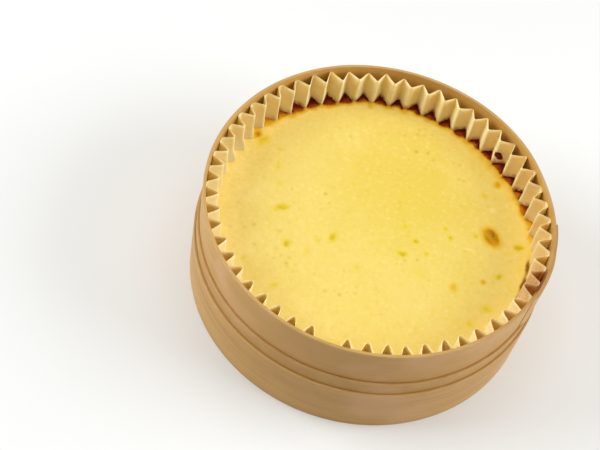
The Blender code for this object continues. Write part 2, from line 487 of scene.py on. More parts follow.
@dataclass(frozen=True)
class CustardFinish:
    """Soft baked custard: satin yellow, mottled, with a browning scale up to burnt sugar."""

    light: Colour = linear(236, 211, 116)
    deep: Colour = linear(229, 202, 90)
    pale: Colour = linear(246, 224, 140)
    yellow: Colour = linear(230, 205, 62)
    olive: Colour = linear(206, 177, 38)
    charred: Colour = linear(144, 90, 6)
    browns: tuple[tuple[float, Colour], ...] = (
        (0.00, linear(236, 204, 96)),
        (0.16, linear(230, 192, 66)),
        (0.32, linear(214, 164, 24)),
        (0.45, linear(192, 134, 8)),
        (0.56, linear(164, 98, 4)),
        (0.68, linear(142, 56, 4)),
        (0.82, linear(112, 26, 2)),
        (1.00, linear(74, 12, 2)),
    )
    tone: Grain = Grain(24.0 * MM)
    mottle: Grain = Grain(5.0 * MM, 3.0, 0.6)
    mottle_share: float = 0.7
    speckle: Grain = Grain(2.2 * MM, 3.0, 0.7)
    grain: Grain = Grain(1.1 * MM, 3.0, 0.65)
    pores: Grain = Grain(0.55 * MM, 3.0, 0.6)
    pore_depth: float = 0.10 * MM
    dimples: Grain = Grain(2.8 * MM)
    dimple_depth: float = 0.20 * MM
    fleck_length: float = 3.2 * MM
    pale_tone: Ramp = Ramp(0.80, 0.45, 0.0, 0.5)
    deep_tone: Ramp = Ramp(0.75, 1.75)
    pale_specks: Ramp = Ramp(0.52, 0.74, 0.0, 0.42)
    yellow_specks: Ramp = Ramp(0.46, 0.26, 0.0, 0.55)
    fleck_core: Ramp = Ramp(0.50, 0.08)
    painted_lit_flecks: Ramp = Ramp(0.45, 0.60, 0.0, 0.45)
    painted_shaded_flecks: Ramp = Ramp(0.40, 0.25, 0.0, 0.7)
    olive_grain: Ramp = Ramp(0.25, 0.65, 0.65, 1.20)
    olive_rim: Ramp = Ramp(0.0, 0.60)
    olive_core: Ramp = Ramp(0.25, 1.10)
    browned: Ramp = Ramp(0.02, 0.20)
    blackened: Ramp = Ramp(0.05, 0.85)
    brown_wander: Ramp = Ramp(0.25, 0.75, -0.07, 0.07)
    wandering: Ramp = Ramp(0.25, 0.6)
    roughness: Ramp = Ramp(0.3, 0.9, 0.47, 0.42)
    shine: float = 0.10
    glow: Glow = Glow(0.25, 2.5 * MM, (1.0, 0.55, 0.20))

    def colour(self, graph: Graph, brown: Socket) -> Socket:
        """The skin's colour: tone, mottling, flecks painted as tiny bubbles' highlights and shade, olive and
        pale spots, then browning.

        Args:
            graph: The material's nodes.
            brown: How far the skin is browned, from 0 to 1.

        Returns:
            The colour.
        """
        place = graph.place()
        mottle = graph.times(graph.noise(place, self.mottle), self.mottle_share)
        tone = graph.plus(graph.value("tone"), graph.noise(place, self.tone), mottle)
        speckle = graph.noise(place, self.speckle)
        distance, share = graph.cells(place, self.fleck_length)
        # Flecks: painted highlights and painted shade of tiny bubbles, pale or olive by each cell's own
        # share.
        core = graph.times(graph.spread(distance, self.fleck_core), graph.value("fleck"))
        olive = graph.times(graph.value("olive"), graph.spread(speckle, self.olive_grain))
        return graph.layered(
            self.light,
            (graph.spread(tone, self.pale_tone), self.pale),
            (graph.spread(tone, self.deep_tone), self.deep),
            (graph.spread(speckle, self.pale_specks), self.pale),
            (graph.spread(speckle, self.yellow_specks), self.yellow),
            (graph.times(core, graph.spread(share, self.painted_lit_flecks)), self.pale),
            (graph.times(core, graph.spread(share, self.painted_shaded_flecks)), self.olive),
            (graph.spread(olive, self.olive_rim), self.yellow),
            (graph.spread(olive, self.olive_core), self.olive),
            (graph.value("pale"), self.pale),
            (graph.spread(brown, self.browned), graph.ramp(brown, self.browns)),
            (graph.spread(graph.value("charred"), self.blackened), self.charred),
        )

    def material(self) -> bpy.types.Material:
        """The finished material of the cake's skin and of its burnt crumbs."""
        graph = Graph("baked_custard")
        place = graph.place()
        browned = graph.value("browning")
        wander = graph.spread(graph.noise(place, self.grain), self.brown_wander)
        brown = graph.plus(browned, graph.times(wander, graph.spread(browned, self.wandering)))
        dimples = graph.bump(graph.noise(place, self.dimples), self.dimple_depth)
        return graph.dress(
            base_color=self.colour(graph, brown),
            roughness=graph.spread(brown, self.roughness),
            normal=graph.bump(graph.noise(place, self.pores), self.pore_depth, Normal=dimples),
            specular_ior_level=self.shine,
            subsurface_weight=self.glow.share,
            subsurface_scale=self.glow.depth,
            subsurface_radius=self.glow.reach,
        )


@dataclass(frozen=True)
class PaperFinish:
    """Baking parchment that lets light through: fine fibres, painted highlights on the creases, a warmer
    tint round the right, and stains.
    """

    sheet: Colour = linear(249, 220, 167)
    thick: Colour = linear(244, 208, 152)
    # Painted highlight along the folds and the top edge.
    crease: Colour = linear(250, 224, 174)
    crease_highlight_share: float = 0.12
    # A warmer, darker colour of the paper round the right.
    tint_and_painted_shade_colour: Colour = linear(238, 184, 124)
    browned: Colour = linear(140, 62, 14)
    cloud: Grain = Grain(9.0 * MM, 3.0)
    fibres: Grain = Grain((0.35 * MM, 2.2 * MM, 1.0 * MM), 3.0, 0.6)
    fibre_share: float = 0.6
    fibre_depth: float = 0.03 * MM
    crinkle: Grain = Grain(3.0 * MM)
    crinkle_depth: float = 0.12 * MM
    thick_tone: Ramp = Ramp(0.55, 1.05)
    stain_grain: Ramp = Ramp(0.25, 0.60, 0.55, 1.0)
    roughness: Ramp = Ramp(0.3, 0.7, 0.62, 0.78)
    shine: float = 0.15
    glow: Glow = Glow(0.8, 0.8 * MM, (1.0, 0.78, 0.50))

    def material(self) -> bpy.types.Material:
        """The finished material of the paper case."""
        graph = Graph("baking_parchment")
        surface = graph.surface()
        fibres = graph.noise(surface, self.fibres)
        tone = graph.plus(graph.noise(surface, self.cloud), graph.times(fibres, self.fibre_share))
        paper = graph.layered(
            self.sheet,
            (graph.spread(tone, self.thick_tone), self.thick),
            (graph.times(graph.value("crease"), self.crease_highlight_share), self.crease),
            (graph.value("toast"), self.tint_and_painted_shade_colour),
            (graph.times(graph.value("stain"), graph.spread(fibres, self.stain_grain)), self.browned),
        )
        crinkle = graph.bump(graph.noise(surface, self.crinkle), self.crinkle_depth)
        return graph.dress(
            base_color=paper,
            roughness=graph.spread(fibres, self.roughness),
            normal=graph.bump(fibres, self.fibre_depth, Normal=crinkle),
            specular_ior_level=self.shine,
            subsurface_weight=self.glow.share,
            subsurface_scale=self.glow.depth,
            subsurface_radius=self.glow.reach,
        )


@dataclass(frozen=True)
class VeneerFinish:
    """Bare bent veneer: low-contrast grain along the strip, short dark pores, a painted highlight along each
    strip's top edge, painted warm shade on the inner face and painted shade at the front.
    """

    name: str
    light: Colour = linear(196, 154, 92)
    dark: Colour = linear(181, 137, 76)
    blush: Colour = linear(202, 157, 113)
    drab: Colour = linear(186, 147, 80)
    pore: Colour = linear(156, 112, 58)
    # Painted highlight along each strip's top edge.
    edge: Colour = linear(196, 156, 94)
    # Painted warm shade for the inner hoop's face.
    tint_and_painted_shade_colour: Colour = linear(206, 160, 74)
    scorch: Colour = linear(116, 42, 8)
    grain: Grain = Grain((48.0 * MM, 1.6 * MM, 1.0 * MM), 4.0, 0.6)
    grain_depth: float = 0.04 * MM
    bands: Grain = Grain((220.0 * MM, 6.0 * MM, 1.0 * MM))
    band_share: float = 0.9
    pores: Grain = Grain((7.0 * MM, 0.16 * MM, 1.0 * MM))
    pore_depth: float = 0.02 * MM
    blotch: Grain = Grain(30.0 * MM)
    blotch_share: float = 0.6
    highlight_break: Grain = Grain((9.0 * MM, 2.0 * MM, 1.0 * MM), 3.0, 0.6)
    dark_tone: Ramp = Ramp(0.85, 1.65)
    blushing: Ramp = Ramp(0.48, 0.72, 0.0, 0.5)
    dulling: Ramp = Ramp(0.46, 0.30, 0.0, 0.5)
    pore_marks: Ramp = Ramp(0.62, 0.78, 0.0, 0.4)
    pore_pits: Ramp = Ramp(0.78, 0.60)
    highlight_grain: Ramp = Ramp(0.35, 0.60, 0.35, 1.0)
    scorch_grain: Ramp = Ramp(0.3, 0.7, 0.85, 1.0)
    roughness: Ramp = Ramp(0.3, 0.7, 0.42, 0.55)
    shine: float = 0.30

    def material(self) -> bpy.types.Material:
        """The finished material of one kind of veneer strip."""
        graph = Graph(self.name)
        surface = graph.surface()
        grain = graph.noise(surface, self.grain)
        pores = graph.noise(surface, self.pores)
        blotch = graph.noise(graph.place(), self.blotch)
        broken_highlight = graph.spread(graph.noise(surface, self.highlight_break), self.highlight_grain)
        bands = graph.times(graph.noise(surface, self.bands), self.band_share)
        # The shade value deepens the tone: painted shade at the hoops' fronts, and the lower hoop's darker
        # band.
        tone = graph.plus(grain, bands, graph.times(blotch, self.blotch_share), graph.value("shade"))
        wood = graph.layered(
            self.light,
            (graph.spread(tone, self.dark_tone), self.dark),
            (graph.spread(blotch, self.blushing), self.blush),
            (graph.spread(blotch, self.dulling), self.drab),
            (graph.spread(pores, self.pore_marks), self.pore),
            # Painted highlight along the lit top edges, broken up by noise.
            (graph.times(graph.value("edge"), broken_highlight), self.edge),
            # Painted warm shade on the inner hoop's face, from the tint value.
            (graph.value("toast"), self.tint_and_painted_shade_colour),
            (graph.times(graph.value("scorch"), graph.spread(grain, self.scorch_grain)), self.scorch),
        )
        relief = graph.bump(grain, self.grain_depth)
        return graph.dress(
            base_color=wood,
            roughness=graph.spread(grain, self.roughness),
            normal=graph.bump(graph.spread(pores, self.pore_pits), self.pore_depth, Normal=relief),
            specular_ior_level=self.shine,
        )


@dataclass(frozen=True)
class BrownedSide:
    """The side of the cake where the batter baked on: round the back, none at the front. In degrees."""

    rise: Ramp = Ramp(-6.0, 39.0)
    fall: Ramp = Ramp(162.0, 118.0)

    def strength(self, angle: Array) -> Array:
        """How far it baked on at each angle: a soft rise, then a soft fall."""
        turn = (np.degrees(angle) - self.rise.low) % FULL_DEGREES + self.rise.low
        return self.rise.at(turn) * self.fall.at(turn)


@dataclass(frozen=True)
class Pleats:
    """The zigzag that the folded paper follows in plan.

    A place along it is a count of folds: even folds point inwards and odd ones outwards, and the
    paper is straight between one and the next.
    """

    count: int = 55
    outer_fold: float = 77.9 * MM
    outer_wander: float = 0.5 * MM
    outer_phase: float = 4.1
    inner_fold: float = 72.5 * MM
    inner_wander: float = 0.4 * MM
    inner_phase: float = 2.2
    most_radius: float = 78.2 * MM
    turn_wander: float = math.radians(0.35)
    turn_phase: float = 0.7
    first_angle: float = math.radians(5.0)
    pitch_drift: float = math.radians(2.0)
    drift_side: float = math.radians(150.0)
    fold_reach: float = 0.15
    pressed_pleat: int = 39
    pressed_fold: float = 76.4 * MM
    shrunk: tuple[Side, ...] = (
        Side(163.0, 9.0, 1.9 * MM),
        Side(-8.0, 20.0, -0.9 * MM),
        Side(68.0, 38.0, 0.7 * MM),
    )

    @property
    def folds(self) -> int:
        """How many folds there are."""
        return 2 * self.count

    def turn(self, place: Array) -> Array:
        """Angle of a place, were the folds not uneven: an even turn with a slow drift in pitch."""
        even = self.first_angle + FULL_TURN * place / self.folds
        return even + self.pitch_drift * (1.0 + np.cos(even - self.drift_side))

    def shrink(self, angle: Array) -> Array:
        """How far the baked cake has drawn the paper inwards at each angle, or outwards below zero."""
        return sum(side.at(angle) for side in self.shrunk)

    def fold_points(self) -> Array:
        """Plan points of the folds: an inner and an outer circle in turn, each a little uneven.

        Returns:
            One row for each fold.
        """
        number = np.arange(self.folds)
        inner = self.inner_fold + self.inner_wander * uneven(number, self.inner_phase)
        outer = self.outer_fold - self.outer_wander * np.abs(uneven(number, self.outer_phase))
        radius = np.where(number % 2 == 0, inner, outer)
        radius[2 * self.pressed_pleat] = self.pressed_fold
        radius = np.minimum(radius - self.shrink(self.turn(number)), self.most_radius)
        return round_plan(radius, self.turn(number) + self.turn_wander * uneven(number, self.turn_phase))

    def at(self, place: Array) -> Array:
        """Plan points at places along the zigzag: a straight share of the way between two folds."""
        before = np.floor(place).astype(int)
        share = (place - before)[..., None]
        points = self.fold_points()
        return points[before % self.folds] * (1.0 - share) + points[(before + 1) % self.folds] * share

    def rounded(self, place: Array, samples: int = 9) -> Array:
        """The zigzag with soft folds: the mean of the straight one over a short reach either way.

        Args:
            place: Places along the zigzag.
            samples: How many places the mean takes in.

        Returns:
            Plan points.
        """
        shifts = np.linspace(-self.fold_reach, self.fold_reach, samples)
        return sum(self.at(place + shift) for shift in shifts) / samples

    def outward(self, place: Array) -> Array:
        """0 at an inward fold and 1 at an outward one."""
        return 1.0 - np.abs(place % 2.0 - 1.0)

    def clearance(self, plan: Array, place: Array) -> Array:
        """Distance from plan points to the nearest of the three flanks round their place.

        Args:
            plan: Plan points.
            place: Their places along the zigzag.

        Returns:
            The distances.
        """
        points = self.fold_points()
        nearest = np.full(plan.shape[:-1], np.inf)
        for offset in (-1, 0, 1):
            index = np.floor(place).astype(int) + offset
            start = points[index % self.folds]
            run = points[(index + 1) % self.folds] - start
            share = np.clip(((plan - start) * run).sum(-1) / (run * run).sum(-1), 0.0, 1.0)
            nearest = np.minimum(nearest, from_axis(plan - start - share[..., None] * run))
        return nearest


@dataclass(frozen=True)
class SpotLook:
    """How strongly a spot shows: its browning, its olive and pale shares, and how far it sinks."""

    browning: float = 0.0
    olive: float = 0.0
    pale: float = 0.0
    sunk: float = 0.0


class Spot(Enum):
    """What a mark on the cake's skin is."""

    BLISTER = SpotLook(sunk=0.5 * MM)
    AMBER = SpotLook(browning=0.42, olive=0.8, sunk=0.25 * MM)
    GOLD = SpotLook(browning=0.26, olive=0.8, sunk=0.15 * MM)
    OLIVE = SpotLook(olive=1.0, sunk=0.18 * MM)
    PALE = SpotLook(pale=1.0, sunk=-0.15 * MM)


@dataclass(frozen=True)
class Mark:
    """One mark on the skin: an oval with a place, a length and a width, in millimetres."""

    kind: Spot
    x: float
    y: float
    length: float
    width: float
    turn: float = 0.0
    strength: float = 1.0

    def offsets(self, plan: Array) -> tuple[Array, Array]:
        """How far plan points are from the mark's middle along it and across: 1 on its outline."""
        angle = math.radians(self.turn)
        offset = plan / MM - np.array([self.x, self.y])
        along = offset[..., 0] * math.cos(angle) + offset[..., 1] * math.sin(angle)
        across = offset[..., 1] * math.cos(angle) - offset[..., 0] * math.sin(angle)
        return along / (self.length / 2.0), across / (self.width / 2.0)


MARK_ROWS = {
    Spot.BLISTER: ((54.9, 8.0, 12.4, 8.8, -53.0),),
    Spot.AMBER: (
        (40.5, -24.1, 5.0, 6.6, 10.0, 0.55), (53.2, -17.8, 3.4, 3.0, 0.0, 0.75),
        (54.8, 39.2, 5.6, 4.6, -35.0, 0.8), (-62.8, 36.2, 6.0, 4.6, 60.0, 1.2),
    ),
    Spot.GOLD: (
        (16.4, -2.4, 2.4, 1.8, 30.0, 0.5), (-27.2, -22.4, 4.0, 7.0, 10.0, 0.35),
        (-44.8, -3.6, 3.0, 2.6, 25.0, 0.5), (40.0, -35.2, 2.2, 2.2, 0.0, 0.4),
    ),
    Spot.OLIVE: (
        (47.6, 6.6, 4.0, 3.5, 0.0, 0.7), (68.2, 5.6, 5.4, 3.8, 20.0, 1.25),
        (36.2, 2.4, 3.2, 3.2, 0.0, 1.0), (33.0, 7.3, 3.6, 2.6, -20.0, 0.6),
        (43.8, -3.2, 4.4, 1.8, -8.0, 0.5), (20.8, -3.9, 4.2, 4.0, 0.0, 0.9),
        (14.3, 2.6, 4.0, 4.0, 0.0, 0.5), (14.9, -12.2, 6.4, 3.2, -10.0, 0.9),
        (25.9, -9.6, 3.2, 3.0, 0.0, 0.6), (5.3, -7.4, 2.6, 2.0, 0.0, 0.4),
        (-17.3, -12.0, 4.0, 6.0, -15.0, 0.9), (-23.4, -15.5, 3.4, 3.4, 0.0, 0.4),
        (-36.6, -21.6, 4.0, 4.0, 0.0, 0.9), (-37.2, -20.8, 6.6, 5.6, 0.0, 0.5),
        (-43.4, -2.5, 8.4, 4.4, 25.0, 0.9), (60.3, -13.3, 4.6, 3.6, 20.0, 0.9),
        (56.2, -31.6, 6.6, 5.4, 0.0, 0.6), (50.0, -41.0, 5.0, 6.0, 0.0, 0.4),
        (49.1, 30.9, 4.4, 3.0, 0.0, 0.5), (-59.4, 33.4, 11.0, 7.0, 60.0, 0.6),
        (-50.6, 30.4, 4.0, 3.0, 0.0, 0.4), (-49.6, 20.4, 2.4, 7.0, 0.0, 0.5),
        (-46.8, 10.8, 4.0, 3.0, 0.0, 0.35), (11.1, 20.8, 3.2, 2.6, 0.0, 0.4),
        (-12.5, 20.8, 4.4, 2.6, 0.0, 0.35), (-4.1, -25.2, 3.2, 3.2, 0.0, 0.45),
        (24.4, -20.2, 8.0, 9.0, 0.0, 0.3), (-54.2, -34.2, 3.6, 3.2, 0.0, 0.5),
        (-38.2, -44.3, 5.6, 2.8, 35.0, 0.5),
    ),
    Spot.PALE: ((45.3, -1.6, 4.6, 2.0, -8.0, 0.8), (54.2, 23.8, 3.6, 3.0, 0.0, 0.8)),
}
MARKS = tuple(Mark(kind, *row) for kind, rows in MARK_ROWS.items() for row in rows)


@dataclass
class Cheesecake:
    """The cake: a slab whose edge fills the pleats, with a skin that dips, waves and blisters.

    Places on the skin are in millimetres for the fleck patches, in half lengths for the
    blister's streaks, and in dish radii for the deep middle.
    """

    pleats: Pleats
    browned: BrownedSide
    top: float = 40.4 * MM
    bottom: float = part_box("cheesecake")[0].z
    cells: int = 275
    round_radius: float = 69.0 * MM
    round_share: float = 0.87
    paper_bite: float = 0.05 * MM
    dish: float = 0.6 * MM
    dish_radius: float = 71.2 * MM
    meniscus: float = 0.4 * MM
    wave_height: float = 0.22 * MM
    wave_length: float = 66.0 * MM
    cross_wave_length: float = 78.0 * MM
    ripple_length: float = 42.0 * MM
    ripple_share: float = 0.6
    dimple_height: float = 0.10 * MM
    dimples: RandomField = RandomField(11, 9.0 * MM, 4)
    crust_climb: float = 1.3 * MM
    climb_wander: float = 0.15
    climb_phase: float = 5.0
    crag_height: float = 0.35 * MM
    crags: RandomField = RandomField(23, 1.9 * MM)
    crag_share: Ramp = Ramp(0.35, 0.8)
    ragged: RandomField = RandomField(31, 4.0 * MM)
    ragged_reach: float = 1.1 * MM
    ragged_gap: float = 0.15 * MM
    ragged_flute: float = 0.08
    ragged_halo: float = 0.5
    ragged_brown: float = 0.05
    soft_power: float = 0.8
    halo: Ramp = Ramp(69.0 * MM, 72.2 * MM, 0.0, 0.23)
    warm: Side = Side(42.0, 26.0)
    warm_halo: Ramp = Ramp(66.0 * MM, 72.5 * MM, 0.0, 0.24)
    in_flute: Ramp = Ramp(0.06, 0.40)
    flute: Ramp = Ramp(71.7 * MM, 73.2 * MM, 0.0, 0.42)
    by_paper: Ramp = Ramp(1.5 * MM, 0.2 * MM)
    flute_end: Ramp = Ramp(73.6 * MM, 76.0 * MM)
    dark: Ramp = Ramp(72.4 * MM, 73.8 * MM, 0.0, 0.36)
    line: Side = Side(-11.5, 12.5, 1.15, 4)
    line_radius: float = 73.0 * MM
    line_half: float = 1.1 * MM
    line_blobs: int = 3
    blob_share: float = 0.28
    line_ragged: RandomField = RandomField(37, 2.5 * MM)
    line_wander: float = 0.5 * MM
    warps: tuple[RandomField, RandomField] = (RandomField(41, 2.2 * MM), RandomField(42, 2.2 * MM))
    warp: float = 1.1 * MM
    blister_warp: float = 0.5
    spot_steepness: float = 1.1
    blister_pit: Ramp = Ramp(1.1, 0.3)
    blister_core: Ramp = Ramp(1.15, 0.60, 0.0, 0.34)
    blister_halo: Ramp = Ramp(1.6, 0.9, 0.0, 0.17)
    streaks: tuple[Patch, ...] = (
        Patch(-0.15, 0.38, 0.85, 0.36, 0.20), Patch(0.1, -0.42, 0.35, 0.24, 0.10),
    )
    tone_slope: tuple[float, float] = (0.22, 0.12)
    deep_middle: Patch = Patch(0.15, 0.30, 0.5, 0.5, 0.82)
    fleck_share: float = 0.18
    fleck_patches: tuple[Patch, ...] = (
        Patch(15.0, 50.0, 9.0, 9.0, 1.0), Patch(-8.0, 56.0, 4.0, 4.0, 0.8),
        Patch(35.0, 41.0, 6.0, 6.0, 0.7), Patch(-37.0, 9.0, 7.0, 7.0, 0.8),
        Patch(-25.0, 9.0, 5.0, 5.0, 0.7), Patch(-48.0, -18.0, 7.0, 7.0, 0.9),
        Patch(-12.0, -38.0, 7.0, 7.0, 0.8), Patch(12.0, -40.0, 5.0, 5.0, 0.5),
        Patch(22.0, -17.0, 6.0, 6.0, 0.6), Patch(-22.0, 46.0, 5.0, 5.0, 0.5),
        Patch(5.0, 17.0, 5.0, 5.0, 0.5), Patch(-36.0, -33.0, 5.0, 5.0, 0.5),
    )
    side_rows: int = 6
    side_fade: int = 6
    finish: CustardFinish = field(default_factory=CustardFinish)

    def relief(self, plan: Array) -> Array:
        """Height of the skin over its level: a shallow dish, soft crossed waves and dimples."""
        x, y = plan[..., 0], plan[..., 1]
        share = np.minimum(from_axis(plan) / self.dish_radius, 1.0)
        swell = np.sin(FULL_TURN * x / self.wave_length) * np.cos(FULL_TURN * y / self.cross_wave_length)
        ripple = self.ripple_share * np.sin(FULL_TURN * (x - y) / self.ripple_length)
        waves = self.wave_height * (swell + ripple) * (1.0 - share**4)
        return self.dish * (share**2 - 1.0) + waves + self.dimple_height * self.dimples.at(lifted(plan))

    def crust(self, plan: Array, place: Array, edge_share: Array) -> Array:
        """Height of the browned crust: it climbs into each flute at the back, and is craggy there.

        Args:
            plan: Plan points.
            place: Their places along the pleats.
            edge_share: 0 where the skin is still round and 1 at the paper.

        Returns:
            The heights.
        """
        strength = self.browned.strength(self.pleats.turn(place))
        lump = 1.0 - self.climb_wander + self.climb_wander * uneven(2.0 * place, self.climb_phase)
        climb = self.crust_climb * strength * edge_share**2 * self.pleats.outward(place) * lump
        crags = self.crags.at(lifted(plan, climb)) * self.crag_share.at(edge_share)
        return climb + self.crag_height * strength * crags

    def browning(self, plan: Array, place: Array) -> Array:
        """How far the edge is browned: a golden halo, red-brown flutes, and near black at the paper.

        Args:
            plan: Plan points.
            place: Their places along the pleats.

        Returns:
            The browning from 0 to 1.
        """
        turn = self.pleats.turn(place)
        strength = self.browned.strength(turn)
        soft = strength**self.soft_power
        ragged = self.ragged.at(lifted(plan))
        reach = from_axis(plan) + self.ragged_reach * ragged + self.pleats.shrink(turn)
        gap = self.pleats.clearance(plan, place) + self.ragged_gap * ragged
        halo = self.halo.at(reach) * soft * (1.0 + self.ragged_halo * ragged)
        halo = np.maximum(halo, self.warm.at(turn) * self.warm_halo.at(reach) * strength)
        deep = np.maximum(self.by_paper.at(gap), self.flute_end.at(reach))
        flute = self.flute.at(reach) * strength + self.dark.at(reach) * deep * soft
        flute *= self.in_flute.at(self.pleats.outward(place) + self.ragged_flute * ragged)
        return np.clip(halo + flute + self.ragged_brown * ragged * strength, 0.0, 1.0)

    def charred(self, plan: Array, place: Array) -> Array:
        """The dark line at the paper's foot on the right: a bell curve across, a cosine's blobs along.

        Args:
            plan: Plan points.
            place: Their places along the pleats.

        Returns:
            How dark it is, from 0 to 1.
        """
        turn = self.pleats.turn(place)
        wander = self.line_wander * self.line_ragged.at(lifted(plan))
        across = (from_axis(plan) - self.line_radius + wander) / self.line_half
        blobs = 1.0 - self.blob_share * (1.0 - np.cos(self.line_blobs * math.pi * self.line.away(turn)))
        return np.clip(self.line.at(turn) * blobs * np.exp(-(across**2)), 0.0, 1.0)

    def marks(self, plan: Array) -> dict[str, Array]:
        """The skin's spots as point values, and their relief under the name sunk.

        Args:
            plan: Plan points.

        Returns:
            Browning, olive and pale shares, and how far the skin sinks.
        """
        bent = plan + self.warp * np.stack([wander.at(lifted(plan)) for wander in self.warps], axis=-1)
        half_bent = plan + self.blister_warp * (bent - plan)
        shares = ("browning", "olive", "pale")
        found = {name: np.zeros(plan.shape[:-1]) for name in (*shares, "sunk")}
        for mark in MARKS:
            blister = mark.kind is Spot.BLISTER
            along, across = mark.offsets(half_bent if blister else bent)
            reach = np.hypot(along, across)
            spot = mark.strength * np.exp(-((self.spot_steepness * reach) ** 2))
            if blister:
                spot = self.blister_pit.at(reach)
                found["browning"] = np.maximum(found["browning"], self.blister(along, across))
            for name in shares:
                found[name] = np.maximum(found[name], getattr(mark.kind.value, name) * spot)
            found["sunk"] += mark.kind.value.sunk * spot
        return found

    def blister(self, along: Array, across: Array) -> Array:
        """Browning of the burst blister: a golden oval with two darker streaks along it and a halo.

        Args:
            along: Distance along the oval, 1 at its end.
            across: Distance across it, 1 at its side.

        Returns:
            The browning.
        """
        reach = np.hypot(along, across)
        core = self.blister_core.at(reach) + sum(streak.at(along, across) for streak in self.streaks)
        return np.maximum(core, self.blister_halo.at(reach))

    def tone(self, plan: Array) -> Array:
        """How deep the skin's yellow is: deepest right of the middle, palest at the front left."""
        share = plan / self.dish_radius
        return share @ np.array(self.tone_slope) + self.deep_middle.at(share[..., 0], share[..., 1])

    def skin_grid(self) -> tuple[Array, Array, Array]:
        """Plan points of the skin: a square grid bent into a disc, then drawn out into the pleats.

        A square's rings become circles: the ring's number gives the radius and the share of the
        way along its side gives the angle. Past the round part each point moves along a straight
        line towards its place on the zigzag.

        Returns:
            Plan points, places along the pleats, and shares of the way to the paper.
        """
        steps = np.linspace(-1.0, 1.0, self.cells + 1)
        a, b = np.meshgrid(steps, steps)
        ring = np.maximum(np.abs(a), np.abs(b))
        wide = np.abs(a) >= np.abs(b)
        quarter = math.pi / 4.0
        turn = np.where(wide, quarter * b / a, 2.0 * quarter - quarter * a / b)
        turn += np.where(np.where(wide, a < 0.0, b < 0.0), math.pi, 0.0)
        edge_points = 4 * self.cells
        place = (turn / FULL_TURN * edge_points + 0.5) * self.pleats.folds / edge_points
        share = np.clip((ring - self.round_share) / (1.0 - self.round_share), 0.0, 1.0)
        radius = self.round_radius * np.minimum(ring / self.round_share, 1.0)
        plan = round_plan(radius, self.pleats.turn(place))
        plan += (self.edge_plan(place) - plan) * share[..., None]
        return plan, place, share

    def edge_plan(self, place: Array) -> Array:
        """Where the cake meets the paper: the zigzag, drawn in by less than the paper's thickness."""
        zigzag = self.pleats.rounded(place)
        return zigzag * (1.0 - self.paper_bite / from_axis(zigzag)[..., None])

    def height(self, plan: Array, place: Array, share: Array) -> Array:
        """Height of the skin above the ground, without its spots."""
        return self.top + self.meniscus * share + self.relief(plan) + self.crust(plan, place, share)

    def build(self) -> bpy.types.Object:
        """The cake's skin, its fluted side and its underside, as one closed piece.

        Returns:
            The finished object.
        """
        plan, place, share = self.skin_grid()
        found = self.marks(plan)
        height = self.height(plan, place, share) - found.pop("sunk")
        found["browning"] = np.maximum(found["browning"], self.browning(plan, place))
        found["tone"] = self.tone(plan)
        found["charred"] = self.charred(plan, place)
        # Where the painted highlights and shade of tiny bubbles show: most in the fleck patches, none at the
        # paper.
        patches = sum(patch.at(plan[..., 0] / MM, plan[..., 1] / MM) for patch in self.fleck_patches)
        found["fleck"] = np.clip(self.fleck_share + patches, 0.0, 1.0) * (1.0 - share)
        shape = GridMesh("cheesecake_body")
        shape.add(lifted(plan, height), plan, found)
        self.add_side(shape)
        return shape.finish(self.finish.material())

    def add_side(self, shape: GridMesh) -> None:
        """Adds the underside and the fluted side, from the middle of the bottom out and up.

        Args:
            shape: The piece that they complete.
        """
        columns = 4 * self.cells
        place = np.arange(columns + 1) * self.pleats.folds / columns
        edge = self.edge_plan(place)
        rounded = round_plan(self.round_radius, self.pleats.turn(place))
        top = self.height(edge, place, np.ones_like(place)) - self.marks(edge)["sunk"]
        rows = [(0.0 * rounded, 0.0), (rounded, 0.0)]
        rows += [(edge, share) for share in np.linspace(0.0, 1.0, self.side_rows)]
        points = np.stack([lifted(plan, self.bottom + (top - self.bottom) * share) for plan, share in rows])
        up = np.linspace(0.0, 1.0, len(rows))[:, None]
        uv = np.stack(np.broadcast_arrays(lengths_along(edge), self.top * up), axis=-1)
        shape.add(points, uv, {"browning": self.browning(edge, place) * up**self.side_fade}, ring=True)


